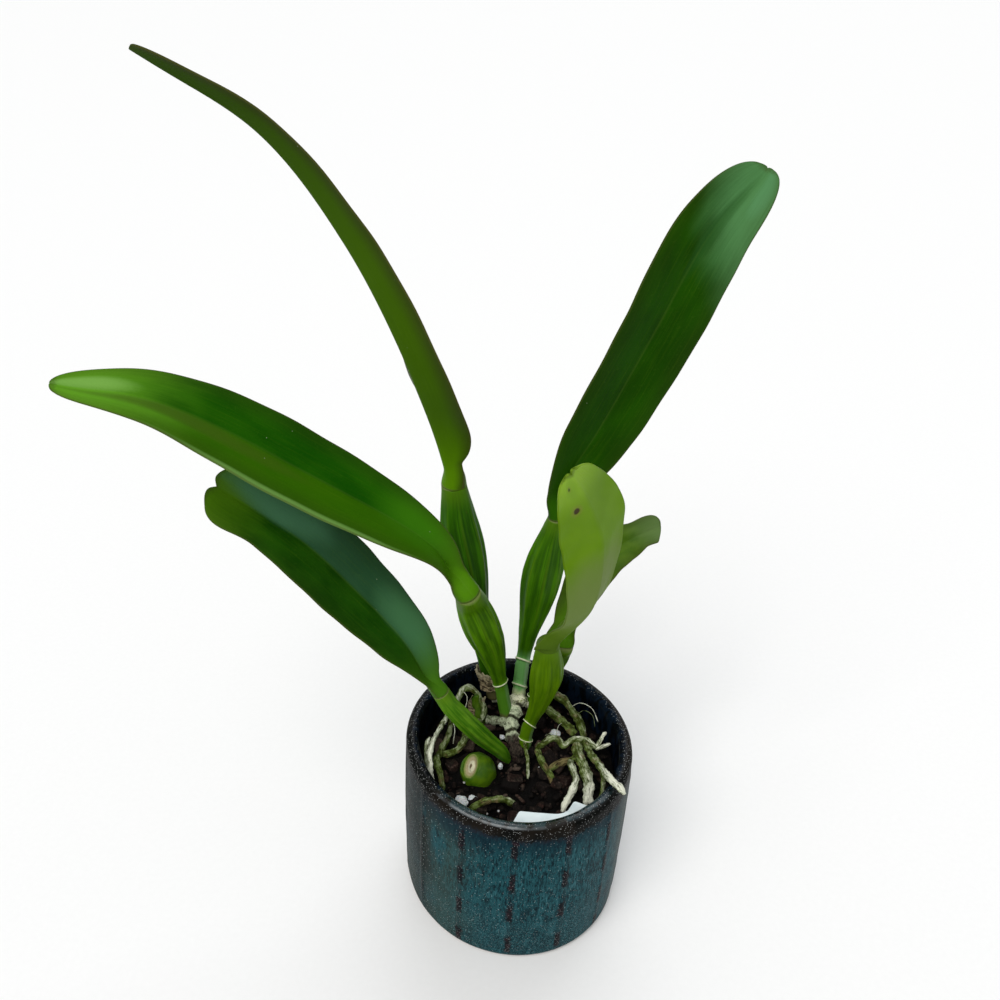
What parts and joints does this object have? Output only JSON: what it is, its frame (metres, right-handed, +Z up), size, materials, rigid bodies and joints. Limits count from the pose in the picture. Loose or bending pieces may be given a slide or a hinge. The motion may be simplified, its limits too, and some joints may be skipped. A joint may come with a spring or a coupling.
{
  "type": "potted cattleya orchid",
  "caption": "Potted cattleya orchid out of flower: strap-shaped leaves on ribbed pseudobulbs, a creeping rhizome and bare roots on bark in a straight glazed cylinder pot.",
  "frame": {"origin": "centre of the pot's flat underside", "axes": "+Z up along the pot's axis, +X to the right and +Y to the back of the plant as it is usually seen"},
  "size_m": [0.3301, 0.2156, 0.4539],
  "materials": {
    "pot_glaze": "gloss",
    "bark_mix": "matte",
    "leaf_blade": "satin",
    "pseudobulb_skin": "satin",
    "old_bulb_skin": "satin",
    "rhizome_skin": "matte",
    "root_velamen": "matte",
    "papery_sheath": "matte",
    "perlite": "matte",
    "label_plastic": "satin"
  },
  "bodies": {
    "root": {"pot": "pot_glaze", "potting_mix": "bark_mix", "leaf_1": "leaf_blade", "leaf_2": "leaf_blade", "leaf_3": "leaf_blade", "leaf_4": "leaf_blade", "leaf_5": "leaf_blade", "leaf_6": "leaf_blade", "pseudobulb_1": "pseudobulb_skin", "pseudobulb_2": "pseudobulb_skin", "pseudobulb_3": "pseudobulb_skin", "pseudobulb_4": "pseudobulb_skin", "pseudobulb_5": "pseudobulb_skin", "pseudobulb_6": "pseudobulb_skin", "old_bulb_cut": "old_bulb_skin", "old_bulb_small": "old_bulb_skin", "rhizome": "rhizome_skin", "roots_left": "root_velamen", "roots_right_back": "root_velamen", "roots_right_front": "root_velamen", "root_front": "root_velamen", "sheath_1": "papery_sheath", "perlite_1": "perlite", "perlite_2": "perlite", "perlite_3": "perlite", "perlite_4": "perlite", "perlite_5": "perlite", "plant_label": "label_plastic"}
  },
  "joints": []
}
